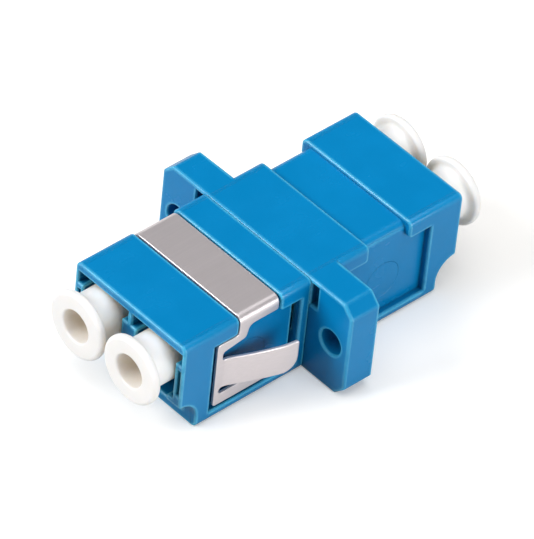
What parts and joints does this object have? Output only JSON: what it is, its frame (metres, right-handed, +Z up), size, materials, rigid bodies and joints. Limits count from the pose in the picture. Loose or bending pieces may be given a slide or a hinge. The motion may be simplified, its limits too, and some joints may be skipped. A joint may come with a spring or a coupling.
{
  "type": "lc fibre adapter",
  "caption": "Blue flanged duplex LC fibre adapter for a panel cut-out, with a steel spring clip round its front half and white dust caps in its ports.",
  "frame": {"origin": "on the underside, at the middle of the flange's thickness and width", "axes": "+X along the optical axes from the clip end to the rear end, +Y to the left, +Z up through the roof"},
  "size_m": [0.0348, 0.022, 0.0094],
  "materials": {
    "housing": "satin moulded, fine texture",
    "spring_steel": "fine satin rolled sheet",
    "cap_plastic": "soft satin, slightly translucent",
    "holder_plastic": "satin moulded",
    "zirconia": "polished"
  },
  "bodies": {
    "root": {"front_shell": "housing", "rear_shell": "housing", "spring_clip": "spring_steel", "split_sleeve_left": "zirconia", "split_sleeve_right": "zirconia", "sleeve_holder_front_left": "holder_plastic", "sleeve_holder_rear_left": "holder_plastic", "sleeve_holder_front_right": "holder_plastic", "sleeve_holder_rear_right": "holder_plastic"},
    "cap_front_left": {"dust_cap_front_left": "cap_plastic"},
    "cap_rear_left": {"dust_cap_rear_left": "cap_plastic"},
    "cap_front_right": {"dust_cap_front_right": "cap_plastic"},
    "cap_rear_right": {"dust_cap_rear_right": "cap_plastic"},
    "wing_left": {"clip_wing_left": "spring_steel"},
    "wing_right": {"clip_wing_right": "spring_steel"}
  },
  "joints": [
    {"name": "pull_cap_front_left", "type": "slide", "parent": "root", "child": "cap_front_left", "axis": [-1, 0, 0], "range_m": [0, 0.016]},
    {"name": "pull_cap_rear_left", "type": "slide", "parent": "root", "child": "cap_rear_left", "axis": [1, 0, 0], "range_m": [0, 0.016]},
    {"name": "pull_cap_front_right", "type": "slide", "parent": "root", "child": "cap_front_right", "axis": [-1, 0, 0], "range_m": [0, 0.016]},
    {"name": "pull_cap_rear_right", "type": "slide", "parent": "root", "child": "cap_rear_right", "axis": [1, 0, 0], "range_m": [0, 0.016]},
    {"name": "flex_wing_left", "type": "hinge", "parent": "root", "child": "wing_left", "pos_m": [-0.0102, 0.00612, 0.0043], "axis": [0, 0, -1], "range_deg": [0, 18], "stiffness_Nm_per_rad": 0.2},
    {"name": "flex_wing_right", "type": "hinge", "parent": "root", "child": "wing_right", "pos_m": [-0.0102, -0.00612, 0.0043], "axis": [0, 0, 1], "range_deg": [0, 18], "stiffness_Nm_per_rad": 0.2}
  ]
}
